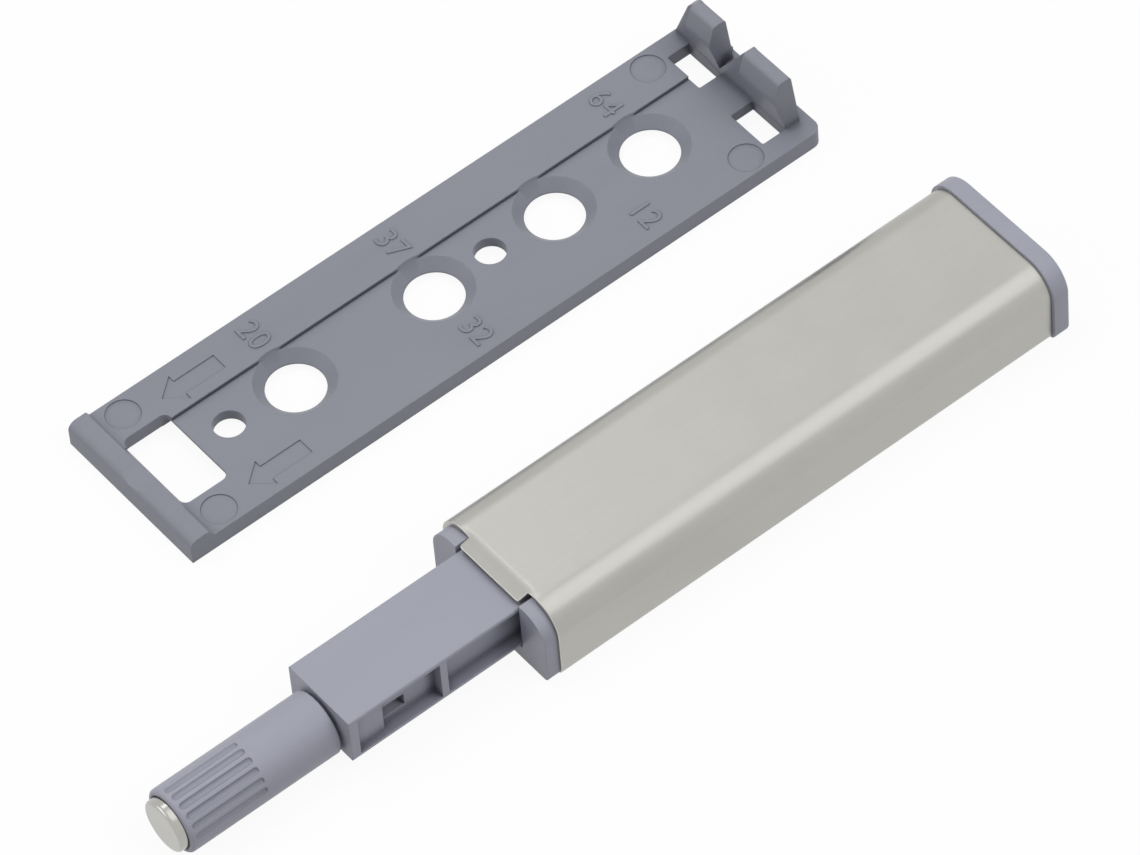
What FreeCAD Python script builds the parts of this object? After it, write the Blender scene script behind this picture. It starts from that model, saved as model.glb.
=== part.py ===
import FreeCAD, Part

# Magnetic touch latch for a cabinet door, with its mounting plate laid beside it.
# Millimetres. X runs along the latch, from the magnet tip (front, -X) to the rear cap.
# Y points from the latch to the plate, Z is up, and both pieces lie on the plane Z = 0.
# Inside this file X is counted from the housing's front face; the finished solids are moved
# by half the body's length, so the frame's origin is the middle of the housing's underside.

import math
import os
from FreeCAD import Vector

# General fits
slide_gap = 0.2          # each side of the slider in its guides
seat_gap = 0.05          # between fixed pieces that are laid into each other
turn_gap = 0.05          # radial, round shafts that turn or slide
lift_gap = 0.1           # under the slider
press_gap = 0.01         # radial, the pin in its seat
over = 1.0               # how far a cut runs past a face
near = 0.01              # tolerance for picking edges by their place
most = 0.9               # share of a bar's length that picks its long edges

# Housing
body_length = 64.0
cover_half = 8.65        # half of the cover's outer width
cover_top = 8.8
cover_corner = 3.2       # outer bend radius along the top
fold_corner = 0.9        # outer bend radius where the sheet wraps underneath
sheet = 0.6
fold_reach = 2.15        # how far the sheet reaches inwards underneath
tab_reach = 1.65         # tab in front of the cover's front edge
tab_half = 4.35
tab_drop = 0.5           # how far the tab's front is set down
tab_slope = 0.75         # length of the bend behind the cover's front edge
ear_depth = 1.8
ear_inset = 0.3          # flange edge inside the cover's side
ear_step = 0.7           # flange top below the cover's top
cap_depth = 2.0
cap_proud = 0.35
cap_bevel = 0.35
guide_wall = 1.0
plug_length = 3.0
plug_height = 4.0

# Slider
slider_out = 20.0        # length in front of the housing at rest
slider_in = 24.0         # length inside the housing at rest
slider_half = 4.5
slider_low = 1.8
slider_top = 7.5
slider_edge = 0.2        # rounding of the long edges
stroke = 37.0
pocket_depth = 1.3
pocket_flange = 0.45     # wall left above and below the side pockets
front_post = 1.0
rib = 0.8
rib_pitch = 10.5
shallow_length = 3.3     # first stretch of the front pocket
shallow_depth = 0.7
window_length = 2.9
window_height = 1.5
tail_wall = 3.5
lug_reach = 0.8
lug_height = 1.2
lug_length = 3.0
stop_gap = 0.1

# Adjustable tip
tip_radius = 3.45
tip_axis = 3.8           # height of the tip's axis
tip_length = 17.35
shoulder_gap = 0.35      # between the slider's face and the tip
stem_radius = 1.45
stem_length = 12.0
stem_bore_length = 16.0
rim_bevel = 0.3
flute_count = 6
flute_pitch = 19.0       # degrees
flute_centre = 58.0      # degrees above the -Y side
flute_radius = 0.32
flute_bite = 0.2
flute_length = 8.3
flute_margin = 0.6       # plain rim in front of the flutes
magnet_radius = 2.8
magnet_length = 3.9
magnet_proud = 0.9
magnet_bevel = 0.25

# Return spring and its pin
spring_axis = 4.9
spring_radius = 1.4      # to the wire's centre
spring_wire = 0.35       # side of the square wire
spring_turns = 11
spring_bore = 1.8
bore_web = 1.5           # wall between the stem's bore and the spring's bore
pin_radius = 0.9
pin_seat = 1.3           # depth of the pin's seat in the cap
pin_start_gap = 1.1      # from the bore's end to the pin with the slider pushed in

# Latching mechanism on the slider's left side
wire_radius = 0.4
track_gap = 0.1
track_depth = 1.0
wire_lift = 0.8          # from the slider's side to the wire's centre
follower_tip = 21.0
follower_pivot = 41.0
follower_low = 3.2       # height of the tip at rest
follower_high = 5.6      # height of the tip with the slider pushed in
catch_back = 2.6         # how far the slider springs back into the catch
catch_height = 4.4
return_height = 2.9
return_bend = 8.0
return_join = 13.0
end_play = 0.2           # between the wire's tip and the bottom of the track
boss_half = 1.5
boss_length = 5.6
boss_reach = 1.9
leaf_sheet = 0.2
leaf_half = 1.6
leaf_start = 12.3
leaf_straight = 5.2
leaf_press = 8.5
leaf_curl = 1.5
leaf_rise = 0.35         # of the curl at the leaf's end
leaf_level = 1.8         # from the slider's side to the leaf's root
clip_length = 4.0
clip_half = 1.9

# Mounting plate
plate_aside = 34.6       # from the latch's centre line to the plate's
plate_ahead = 16.3       # plate front in front of the housing's front face
plate_length = 78.0
plate_width = 19.3
plate_thickness = 2.0
plate_corner = 1.2
plate_skin = 1.25        # thickness inside the rim, the underside is hollow
plate_rim = 1.4          # width of the rim that the plate stands on
strip_raise = 0.35
strip_from = 4.05        # from the centre line to the raised strip
lip_depth = 2.8
lip_height = 0.95
lip_round = 1.0
lip_slope = 0.6
scoop_radius = 5.0
scoop_depth = 0.42
window_x = 5.4           # rectangular opening behind the lip
window_y = 9.9
window_corner = 0.8
window_relief = 1.6      # sloped stretch of the underside behind the opening
window_edge = 0.3        # thickness left at the opening's rear edge
screw_places = (20.0, 37.0, 52.0, 64.0)
screw_radius = 3.03
screw_head_radius = 4.15
pilot_places = (12.0, 44.0)
pilot_radius = 1.65
hook_margin = 1.0        # plate left behind the hooks
hook_spread = 9.7        # between the centres of the hooks' slots
slot_length = 2.8
slot_width = 4.9
hook_height = 7.0
hook_foot = 1.9          # thickness of a hook at the plate
hook_ridge = 1.07        # ridge behind the front face
hook_flat = 1.45         # flat length of the ridge
nose_reach = 1.15
nose_height = 4.6        # of the nose's foremost edge above the plate
nose_root = 0.5          # height at which the nose's underside meets the front face
left_ridge = 3.6
left_shoulder = 0.9
shoulder_drop = 0.9
right_ridge = 5.4
right_flank = 4.3
sill_height = 0.9
sill_depth = 1.2
hook_play = 0.2          # round the hook noses in the cap

# Worked out from the sizes above
cap_front = body_length - cap_depth
cover_front = ear_depth + seat_gap
cover_under = cover_top - sheet
inner_half = cover_half - sheet
floor_top = slider_low - lift_gap
guide_half = slider_half + slide_gap
wire_y = slider_half + wire_lift
tip_back = -slider_out - shoulder_gap
tip_front = tip_back - tip_length
pivot_height = (follower_low + follower_high) / 2
stem_bore_end = -slider_out + stem_bore_length
bore_end = stem_bore_end + bore_web
hook_front = plate_length - hook_margin - hook_foot


def box(x0, x1, y0, y1, z0, z1):
    """A box between two corners."""
    return Part.makeBox(x1 - x0, y1 - y0, z1 - z0, Vector(x0, y0, z0))


def rod(x0, x1, y, z, radius):
    """A round bar along X."""
    return Part.makeCylinder(radius, x1 - x0, Vector(x0, y, z), Vector(1, 0, 0))


def peg(x, y0, y1, z, radius):
    """A round bar along Y."""
    return Part.makeCylinder(radius, y1 - y0, Vector(x, y0, z), Vector(0, 1, 0))


def drilled(x, y, z0, z1, radius):
    """A round bar along Z."""
    return Part.makeCylinder(radius, z1 - z0, Vector(x, y, z0))


def prism(points, direction):
    """The closed polygon through the points, pushed along a direction."""
    return Part.Face(Part.makePolygon(points + points[:1])).extrude(direction)


def rounded(solid, radius, chosen):
    """The solid with the chosen edges rounded."""
    return solid.makeFillet(radius, [edge for edge in solid.Edges if chosen(edge)])


def bevelled(solid, size, chosen):
    """The solid with the chosen edges bevelled."""
    return solid.makeChamfer(size, [edge for edge in solid.Edges if chosen(edge)])


def spans(edge, axis):
    """How far an edge runs along one axis."""
    low = getattr(edge.BoundBox, axis + "Min")
    high = getattr(edge.BoundBox, axis + "Max")
    return high - low


def arch(x0, x1, half, low, top, top_corner, low_corner):
    """A bar along X whose section has its own rounding above and below."""
    bar = box(x0, x1, -half, half, low, top)
    along = most * (x1 - x0)
    middle = (low + top) / 2
    bar = rounded(bar, top_corner, lambda e: spans(e, "X") > along and e.BoundBox.ZMin > middle)
    return rounded(bar, low_corner, lambda e: spans(e, "X") > along and e.BoundBox.ZMax < middle)


def stroke_of(points, width, depth):
    """A round-ended line of one width through points of the XY plane, raised along Z."""
    radius = width / 2
    solids = [Part.makeCylinder(radius, depth, Vector(x, y, 0)) for x, y in points]
    for (xa, ya), (xb, yb) in zip(points, points[1:]):
        length = math.hypot(xb - xa, yb - ya)
        bar = Part.makeBox(length, width, depth, Vector(0, -radius, 0))
        bar.rotate(Vector(0, 0, 0), Vector(0, 0, 1), math.degrees(math.atan2(yb - ya, xb - xa)))
        bar.translate(Vector(xa, ya, 0))
        solids.append(bar)
    return solids[0].fuse(solids[1:]).removeSplitter()


def steel_cover():
    """Sheet steel channel, wrapped round the tray, with a set-down tab over the slider."""
    shell = arch(cover_front, cap_front, cover_half, 0, cover_top, cover_corner, fold_corner)
    hollow = arch(cover_front - over, cap_front + over, inner_half, sheet, cover_under,
                  cover_corner - sheet, fold_corner - sheet)
    gap_half = cover_half - fold_reach
    mouth = box(cover_front - over, cap_front + over, -gap_half, gap_half, -over, 2 * sheet)
    bend = cover_front + tab_slope
    notch = box(cover_front - over, bend, -tab_half, tab_half, cover_under - over, cover_top + over)
    tip = cover_front - tab_reach
    tab = prism([Vector(bend, -tab_half, cover_under), Vector(bend, -tab_half, cover_top),
                 Vector(tip, -tab_half, cover_top - tab_drop),
                 Vector(tip, -tab_half, cover_under - tab_drop)], Vector(0, 2 * tab_half, 0))
    return shell.cut(hollow).cut(mouth).cut(notch).fuse(tab).removeSplitter()


def housing_tray():
    """Moulded tray: front flange, floor, slider guides and the seats of the latching parts."""
    ear_half = cover_half - ear_inset
    ears = arch(0, ear_depth, ear_half, 0, cover_top - ear_step,
                cover_corner - ear_inset, fold_corner - ear_inset)
    keel_half = cover_half - fold_reach - seat_gap
    keel = box(0, cap_front, -keel_half, keel_half, 0, sheet)
    floor_half = cover_half - fold_corner - seat_gap
    floor = box(0, cap_front, -floor_half, floor_half, sheet, floor_top)
    wall_out = guide_half + guide_wall
    walls = box(ear_depth, cap_front, -wall_out, wall_out, floor_top, cover_under - seat_gap)
    boss_y = wall_out + boss_reach
    boss = box(follower_pivot - boss_half, follower_pivot - boss_half + boss_length,
               wall_out, boss_y, pivot_height - boss_half, pivot_height + boss_half)
    clip = box(leaf_start - wire_radius, leaf_start + clip_length, wall_out,
               slider_half + leaf_level + guide_wall, pivot_height - clip_half, pivot_height + clip_half)
    body = ears.fuse([keel, floor, walls, boss, clip])

    passage = box(-over, cap_front + over, -guide_half, guide_half, floor_top, cover_top + over)
    tip_low_half = math.sqrt(tip_radius ** 2 - (tip_axis - floor_top) ** 2)
    slot_half = tip_low_half + 2 * slide_gap
    tip_slot = box(-over, tip_back + stroke + 2 * slide_gap + shoulder_gap, -slot_half, slot_half,
                   -over, floor_top + over)
    arm_room = wire_radius + 2 * slide_gap
    swing = box(follower_tip - 2 * arm_room, follower_pivot + arm_room, guide_half - over, wall_out,
                follower_low - arm_room, follower_high + arm_room)
    bearing = peg(follower_pivot, wall_out - over, boss_y + over, pivot_height, wire_radius + turn_gap)
    slit_y = slider_half + leaf_level - leaf_sheet / 2
    slit = box(leaf_start - turn_gap, leaf_start + clip_length + over, slit_y - turn_gap / 2,
               slit_y + leaf_sheet + turn_gap / 2,
               pivot_height - leaf_half - turn_gap, pivot_height + leaf_half + turn_gap)
    lug_front = slider_in - lug_length - stop_gap
    lug_way = box(lug_front, cap_front + over, -wall_out - over, -guide_half + over,
                  spring_axis - lug_height / 2 - slide_gap, spring_axis + lug_height / 2 + slide_gap)
    return body.cut([passage, tip_slot, swing, bearing, slit, lug_way]).removeSplitter()


def nose_pocket(centre, ridge):
    """Room in the cap's rear face for one hook nose of the plate."""
    low, high = nose_root - hook_play, hook_height + hook_play
    deep = body_length - nose_reach - hook_play
    width = ridge + 2 * hook_play
    outline = [(body_length + over, low), (body_length, low), (deep, nose_height), (deep, high),
               (body_length + over, high)]
    return prism([Vector(x, centre - width / 2, z) for x, z in outline], Vector(0, width, 0))


def rear_cap():
    """Moulded end cap with plugs into the cover and a seat for the spring's pin."""
    cap = arch(cap_front, body_length, cover_half + cap_proud, 0, cover_top + cap_proud,
               cover_corner + cap_proud, fold_corner)
    cap = bevelled(cap, cap_bevel, lambda e: e.BoundBox.XMin > body_length - near)
    inner = guide_half + guide_wall + slide_gap
    outer = inner_half - (fold_corner - sheet) - seat_gap
    for side in (-1, 1):
        low_y, high_y = sorted((side * inner, side * outer))
        cap = cap.fuse(box(cap_front - plug_length, cap_front, low_y, high_y,
                           floor_top + seat_gap, floor_top + seat_gap + plug_height))
    seat = rod(cap_front - over, cap_front + pin_seat, 0, spring_axis, pin_radius + press_gap)
    pockets = [nose_pocket(centre, ridge) for centre, ridge in hook_ridges()]
    return cap.cut([seat] + pockets).removeSplitter()


def cam_track():
    """Heart-shaped track in the slider's left side, with its catch and its return branch."""
    inmost = follower_tip - stroke
    catch = inmost + catch_back
    join = inmost + return_join
    share = (follower_tip - join) / stroke
    join_height = follower_low + share * (follower_high - follower_low)
    overrun = slider_in + over - follower_tip
    drop = overrun * (follower_high - follower_low) / stroke
    way_in = [(follower_tip + overrun, follower_low - drop), (inmost, follower_high)]
    catching = [(inmost, follower_high), (catch, catch_height), (inmost, return_height)]
    way_out = [(inmost, return_height), (inmost + return_bend, return_height), (join, join_height)]
    width = 2 * (wire_radius + track_gap)
    cuts = []
    for path in (way_in, catching, way_out):
        groove = stroke_of(path, width, track_depth + over)
        groove.rotate(Vector(0, 0, 0), Vector(1, 0, 0), 90)
        groove.translate(Vector(0, slider_half + over, 0))
        cuts.append(groove)
    return cuts


def slider():
    """Sliding block: pocketed right side, heart track on the left, bores front and rear."""
    body = box(-slider_out, slider_in, -slider_half, slider_half, slider_low, slider_top)
    along = most * (slider_out + slider_in)
    body = rounded(body, slider_edge, lambda e: spans(e, "X") > along)
    lug_front = slider_in - lug_length
    lug = box(lug_front, slider_in, -slider_half - lug_reach, -slider_half,
              spring_axis - lug_height / 2, spring_axis + lug_height / 2)
    cuts = [rod(-slider_out - over, stem_bore_end, 0, tip_axis, stem_radius + turn_gap),
            rod(bore_end, slider_in + over, 0, spring_axis, spring_bore)]

    pocket_low = slider_low + pocket_flange
    pocket_top = slider_top - pocket_flange
    pocket_wall = -slider_half + pocket_depth
    start = -slider_out + front_post
    shallow_end = start + shallow_length
    cuts.append(box(start, shallow_end, -slider_half - over, -slider_half + shallow_depth,
                    pocket_low, pocket_top))
    end = start + rib_pitch - rib
    start = shallow_end
    while start < slider_in - tail_wall:
        stop = min(end, slider_in - tail_wall)
        cuts.append(box(start, stop, -slider_half - over, pocket_wall, pocket_low, pocket_top))
        start = end + rib
        end = end + rib_pitch
    cuts.append(box(shallow_end, shallow_end + window_length, pocket_wall - over, 0,
                    tip_axis - window_height / 2, tip_axis + window_height / 2))
    return body.fuse(lug).cut(cuts + cam_track()).removeSplitter()


def tip_rod():
    """Fluted round tip with a plain stem in the slider and a seat for the magnet."""
    head = rod(tip_front, tip_back, 0, tip_axis, tip_radius)
    head = bevelled(head, rim_bevel, lambda e: e.BoundBox.XMax < tip_front + near)
    stem = rod(tip_back - over, tip_back + stem_length, 0, tip_axis, stem_radius)
    seat_depth = magnet_length - magnet_proud
    seat = rod(tip_front - over, tip_front + seat_depth, 0, tip_axis, magnet_radius + turn_gap)
    cuts = [seat]
    reach = tip_radius + flute_radius - flute_bite
    first = tip_front + flute_margin
    for side in (0, 180):
        for index in range(flute_count):
            turn = flute_centre + (index - (flute_count - 1) / 2) * flute_pitch + side
            y = -reach * math.cos(math.radians(turn))
            z = tip_axis + reach * math.sin(math.radians(turn))
            cuts.append(rod(first, first + flute_length, y, z, flute_radius))
    return head.fuse(stem).cut(cuts).removeSplitter()


def tip_magnet():
    """Round magnet in the end of the tip."""
    disc = rod(tip_front - magnet_proud, tip_front - magnet_proud + magnet_length - turn_gap,
               0, tip_axis, magnet_radius)
    front = tip_front - magnet_proud + near
    return bevelled(disc, magnet_bevel, lambda e: e.BoundBox.XMax < front)


def main_spring():
    """Long return spring between the slider's bore and the cap."""
    start = bore_end + spring_wire / 2 + seat_gap
    length = cap_front - seat_gap - spring_wire / 2 - start
    helix = Part.makeHelix(length / spring_turns, length, spring_radius)
    half = spring_wire / 2
    corners = [Vector(spring_radius + x * half, 0, z * half)
               for x, z in ((-1, -1), (1, -1), (1, 1), (-1, 1))]
    section = Part.makePolygon(corners + corners[:1])
    coil = Part.Wire(helix).makePipeShell([section], True, True)
    coil.rotate(Vector(0, 0, 0), Vector(0, 1, 0), 90)
    coil.translate(Vector(start, 0, spring_axis))
    return coil


def spring_pin():
    """Steel pin that keeps the long spring straight."""
    start = bore_end + stroke + pin_start_gap
    pin = rod(start, cap_front + pin_seat - seat_gap, 0, spring_axis, pin_radius)
    return bevelled(pin, pin_radius / 3, lambda e: e.BoundBox.XMax < start + near)


def cam_follower():
    """Bent wire: pivot leg in the tray's boss, arm, and tip leg in the track."""
    pivot = Vector(follower_pivot, wire_y, pivot_height)
    tip = Vector(follower_tip, wire_y, follower_low)
    arm = Part.makeCylinder(wire_radius, (tip - pivot).Length, pivot, tip - pivot)
    leg_end = guide_half + guide_wall + boss_reach - seat_gap
    pivot_leg = peg(follower_pivot, wire_y, leg_end, pivot_height, wire_radius)
    track_bottom = slider_half - track_depth
    tip_leg = peg(follower_tip, track_bottom + end_play, wire_y, follower_low, wire_radius)
    bends = [Part.makeSphere(wire_radius, place) for place in (pivot, tip)]
    return arm.fuse([pivot_leg, tip_leg] + bends).removeSplitter()


def follower_spring():
    """Leaf spring that presses the follower into the track."""
    root_y = slider_half + leaf_level
    bend_x = leaf_start + leaf_straight
    touch_x = bend_x + leaf_press
    touch_y = wire_y + wire_radius + leaf_sheet / 2 + seat_gap
    path = [(leaf_start + leaf_sheet / 2, root_y), (bend_x, root_y), (touch_x, touch_y),
            (touch_x + leaf_curl, touch_y + leaf_rise)]
    leaf = stroke_of(path, leaf_sheet, 2 * leaf_half)
    leaf.translate(Vector(0, 0, pivot_height - leaf_half))
    return leaf


def hook_ridges():
    """Centre and length of each hook's ridge, across the plate from its centre line."""
    inner = (hook_spread - slot_width) / 2
    return ((inner + left_ridge / 2 + hook_play, left_ridge),
            (-inner - slot_width + right_ridge / 2, right_ridge))


def hook(centre, ridge, flank):
    """One clip of the plate; flank is the outline's left end as places beside the ridge."""
    foot = plate_thickness
    right, left = centre - ridge / 2, centre + ridge / 2
    profile = [(0, -foot / 2), (hook_foot, -foot / 2), (hook_foot, 0), (hook_ridge, hook_height),
               (hook_ridge - hook_flat, hook_height), (-nose_reach, nose_height),
               (0, nose_root)]
    clip = prism([Vector(x, right, foot + z) for x, z in profile], Vector(0, ridge, 0))
    side = [(left - ridge / 2, 0), (left - ridge / 2, hook_height), (left, hook_height)]
    side += [(left + y, z) for y, z in flank]
    web = prism([Vector(0, y, foot + z) for y, z in side], Vector(hook_foot, 0, 0))
    start, top = right - over, foot + hook_height
    back = prism([Vector(hook_foot, start, foot), Vector(hook_ridge, start, top),
                  Vector(hook_foot, start, top)], Vector(0, plate_width, 0))
    clip = clip.fuse(web.cut(back))
    clip.translate(Vector(hook_front, 0, 0))
    return clip


def lip():
    """Raised front edge with a rounded nose and a hollow where the tip passes over."""
    half = plate_width / 2
    top = plate_thickness + lip_height
    shape = prism([Vector(0, -half, 0), Vector(lip_depth, -half, 0),
                   Vector(lip_depth, -half, plate_thickness), Vector(lip_depth - lip_slope, -half, top),
                   Vector(0, -half, top)], Vector(0, plate_width, 0))
    shape = rounded(shape, lip_round, lambda e: spans(e, "Y") > half and e.BoundBox.XMax < near
                    and e.BoundBox.ZMin > plate_thickness)
    return shape.cut(rod(-over, lip_depth + over, 0, top + scoop_radius - scoop_depth, scoop_radius))


def mounting_plate():
    """Screw-on plate: lip in front, countersunk holes, raised strip and two hooks."""
    half = plate_width / 2
    base = box(0, plate_length, -half, half, 0, plate_thickness)
    strip = box(lip_depth, plate_length, strip_from, half, plate_thickness, plate_thickness + strip_raise)
    inner = (hook_spread - slot_width) / 2
    sill = box(hook_front + hook_foot - sill_depth, hook_front + hook_foot, -inner, inner,
               plate_thickness, plate_thickness + sill_height)
    edge_flank = [(left_shoulder, hook_height - shoulder_drop),
                  (half - inner - hook_play - left_ridge, 0)]
    long_flank = [(right_flank, sill_height), (right_flank, 0)]
    (left_centre, _), (right_centre, _) = hook_ridges()
    plate = base.fuse([strip, lip(), sill, hook(left_centre, left_ridge, edge_flank),
                       hook(right_centre, right_ridge, long_flank)]).removeSplitter()
    plate = rounded(plate, plate_corner, lambda e: spans(e, "Z") > plate_thickness / 2
                    and e.BoundBox.XMin > plate_length - near and e.BoundBox.ZMin < near)

    above = plate_thickness + 2 * strip_raise
    opening = box(lip_depth, lip_depth + window_x, -window_y / 2, window_y / 2, -over, above)
    cuts = [rounded(opening, window_corner, lambda e: spans(e, "Z") > above)]
    for side in (-1, 1):
        middle = side * hook_spread / 2
        cuts.append(box(hook_front - slot_length, hook_front, middle - slot_width / 2,
                        middle + slot_width / 2, -over, above))
    inside = half - plate_rim
    cuts.append(box(plate_rim, plate_length - plate_rim, -inside, inside,
                    -over, plate_thickness - plate_skin))
    behind = lip_depth + window_x
    under, edge = plate_thickness - plate_skin, plate_thickness - window_edge
    slope = [(behind - over, -over), (behind + window_relief, -over), (behind + window_relief, under),
             (behind, edge), (behind - over, edge)]
    cuts.append(prism([Vector(x, -window_y / 2, z) for x, z in slope], Vector(0, window_y, 0)))
    sink = screw_head_radius - screw_radius
    for x in screw_places:
        cuts.append(drilled(x, 0, -over, above, screw_radius))
        place = Vector(x, 0, plate_thickness - sink)
        cuts.append(Part.makeCone(screw_radius, screw_head_radius, sink, place))
        cuts.append(drilled(x, 0, plate_thickness, above, screw_head_radius))
    for x in pilot_places:
        cuts.append(drilled(x, 0, -over, above, pilot_radius))
    plate = plate.cut(cuts).removeSplitter()
    plate.translate(Vector(-plate_ahead, plate_aside, 0))
    return plate


os.makedirs("parts", exist_ok=True)
for build in (mounting_plate, steel_cover, housing_tray, rear_cap, slider, tip_rod, tip_magnet,
              main_spring, spring_pin, cam_follower, follower_spring):
    shape = build()
    if shape.ShapeType == "Compound" and len(shape.Solids) == 1:
        shape = shape.Solids[0]
    shape.translate(Vector(-body_length / 2, 0, 0))
    shape.exportStep("parts/" + build.__name__ + ".step")
    print(build.__name__, len(shape.Solids), shape.isValid(), round(shape.Volume, 2))
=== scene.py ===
"""Looks of the magnetic touch latch and its mounting plate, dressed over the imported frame.

Every size is in millimetres in the latch's own frame, and becomes metres where a mesh is made.
"""
import logging
import math
from abc import ABC, abstractmethod
from collections.abc import Callable, Iterator, Sequence
from contextlib import contextmanager
from dataclasses import dataclass
from enum import Enum

import bmesh
import bpy
from mathutils import Matrix, Vector


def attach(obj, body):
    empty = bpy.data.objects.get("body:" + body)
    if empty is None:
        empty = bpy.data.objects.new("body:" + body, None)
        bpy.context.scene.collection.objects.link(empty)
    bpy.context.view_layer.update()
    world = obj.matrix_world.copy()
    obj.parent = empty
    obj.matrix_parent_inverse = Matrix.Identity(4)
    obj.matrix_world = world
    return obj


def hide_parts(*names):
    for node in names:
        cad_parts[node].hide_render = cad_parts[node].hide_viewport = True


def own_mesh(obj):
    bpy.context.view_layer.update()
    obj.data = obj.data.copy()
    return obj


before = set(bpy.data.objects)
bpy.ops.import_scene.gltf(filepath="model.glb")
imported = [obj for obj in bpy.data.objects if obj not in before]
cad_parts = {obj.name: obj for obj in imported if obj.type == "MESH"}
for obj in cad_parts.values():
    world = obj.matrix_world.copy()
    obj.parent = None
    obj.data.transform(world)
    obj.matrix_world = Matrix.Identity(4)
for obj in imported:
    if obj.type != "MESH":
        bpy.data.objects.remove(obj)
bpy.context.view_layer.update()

MM = 0.001
# Within this many millimetres places count as the same, and this far apart faces don't coincide.
HAIR = 0.01
# How far a cutter reaches past what it cuts, in millimetres.
PAST = 1.0
# The range that most values of a noise lie in.
CLOUDS = (0.3, 0.7)
WHITE = (1.0, 1.0, 1.0, 1.0)

Pair = tuple[float, float]
Triple = tuple[float, float, float]
Outline = Sequence[Pair]
Test = Callable[[Vector, Vector], bool]
Socket = bpy.types.NodeSocket
Node = bpy.types.Node
Tree = bpy.types.NodeTree
Material = bpy.types.Material

log = logging.getLogger("touch_latch")


class Part(Enum):
    """What is picked in edit mode."""

    POINT = "VERT"
    EDGE = "EDGE"
    FACE = "FACE"


class Axis(Enum):
    """A main direction of the latch's frame."""

    X = 0
    Y = 1
    Z = 2

    @property
    def along(self) -> Vector:
        """Unit vector of the direction."""
        return Vector([float(i == self.value) for i in range(3)])

    @property
    def turn(self) -> Triple:
        """Angles that lay a primitive's own Z along the direction."""
        return ((0.0, math.pi / 2, 0.0), (-math.pi / 2, 0.0, 0.0), (0.0, 0.0, 0.0))[self.value]


class Body(Enum):
    """The bodies that the new pieces ride on."""

    HOUSING = "housing"
    MAGNET = "magnet"
    TIP = "tip"


def is_upright(first: Vector, second: Vector) -> bool:
    """Whether an edge with these ends stands upright, over more than a millimetre."""
    return abs(first.z - second.z) > 1


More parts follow.
